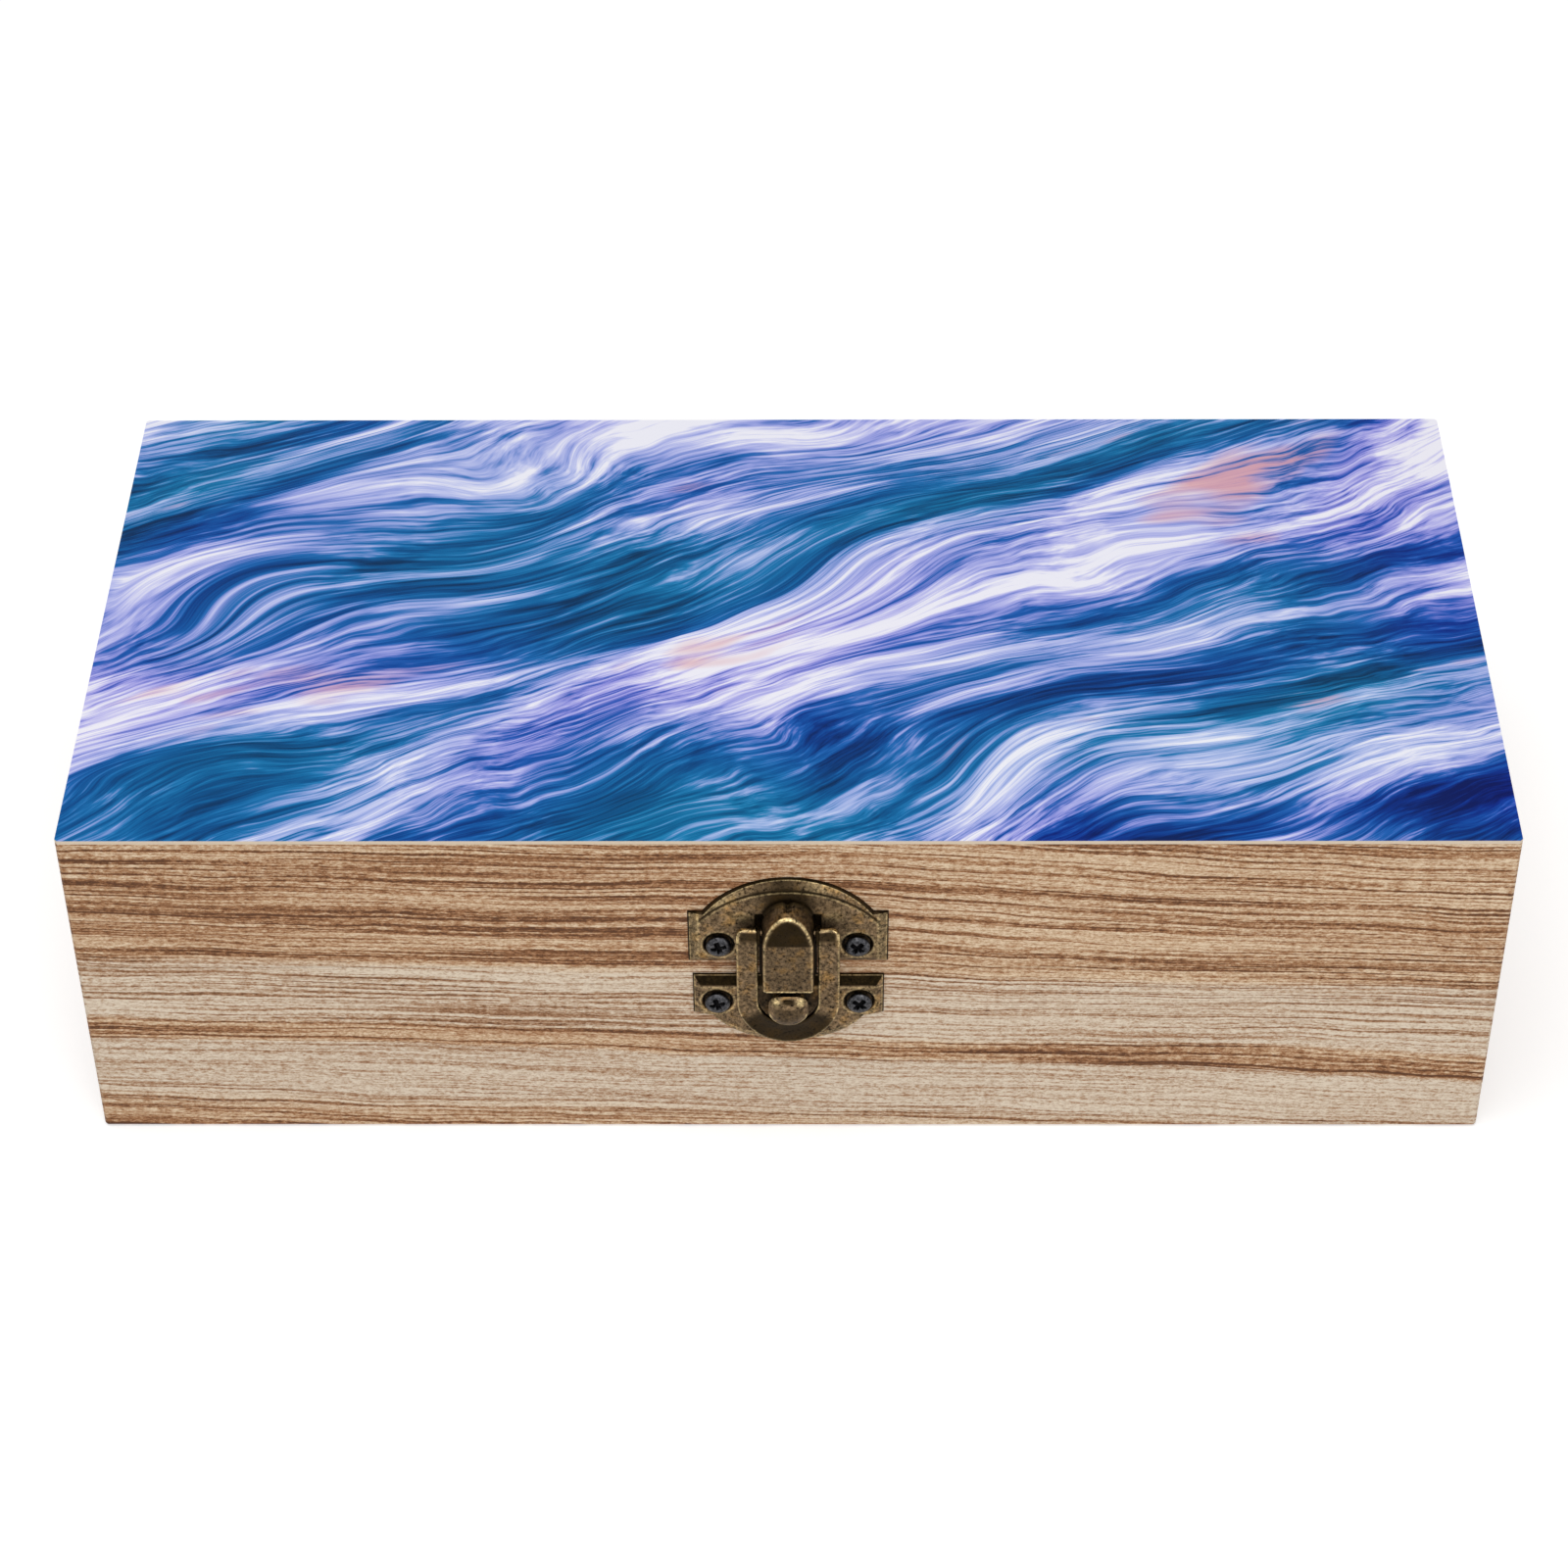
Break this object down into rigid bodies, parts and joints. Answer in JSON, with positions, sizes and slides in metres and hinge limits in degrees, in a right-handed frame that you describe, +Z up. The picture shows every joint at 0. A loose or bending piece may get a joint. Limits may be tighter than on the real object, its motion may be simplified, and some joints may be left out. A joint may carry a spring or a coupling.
{
  "type": "small hinged wooden storage box",
  "caption": "Small rectangular wooden storage box with a hinged lid, a decorated lid cover, butt hinges at the back and an antique bronze loop latch at the front.",
  "frame": {"origin": "centre of the underside, on the surface the box stands on", "axes": "+X to the right along the length, front with the latch towards -Y, +Z up"},
  "size_m": [0.2, 0.1046, 0.0565],
  "materials": {
    "wood": "planed and sanded, bare",
    "cover_print": "satin print",
    "antique_bronze": "antique bronze plate",
    "screw_steel": "blackened"
  },
  "bodies": {
    "base": {"base_back_board": "wood", "base_bottom_panel": "wood", "base_front_board": "wood", "base_left_board": "wood", "base_right_board": "wood", "hinge_left_base_leaf": "antique_bronze", "hinge_left_pin": "antique_bronze", "hinge_right_base_leaf": "antique_bronze", "hinge_right_pin": "antique_bronze", "hinge_screws_base": "screw_steel", "latch_base_plate": "antique_bronze", "latch_screws_base": "screw_steel"},
    "lid": {"hasp_pin": "antique_bronze", "hinge_left_lid_leaf": "antique_bronze", "hinge_right_lid_leaf": "antique_bronze", "hinge_screws_lid": "screw_steel", "latch_lid_plate": "antique_bronze", "latch_screws_lid": "screw_steel", "lid_back_board": "wood", "lid_cover_sheet": "cover_print", "lid_front_board": "wood", "lid_left_board": "wood", "lid_right_board": "wood", "lid_top_panel": "wood"},
    "hasp": {"hasp_loop": "antique_bronze"}
  },
  "joints": [
    {"name": "lid_hinge", "type": "hinge", "parent": "base", "child": "lid", "pos_m": [0, 0.04995, 0.03245], "axis": [-1, 0, 0], "range_deg": [0, 180]},
    {"name": "hasp_swing", "type": "hinge", "parent": "lid", "child": "hasp", "pos_m": [0, -0.0504, 0.04125], "axis": [-1, 0, 0], "range_deg": [0, 90]}
  ]
}
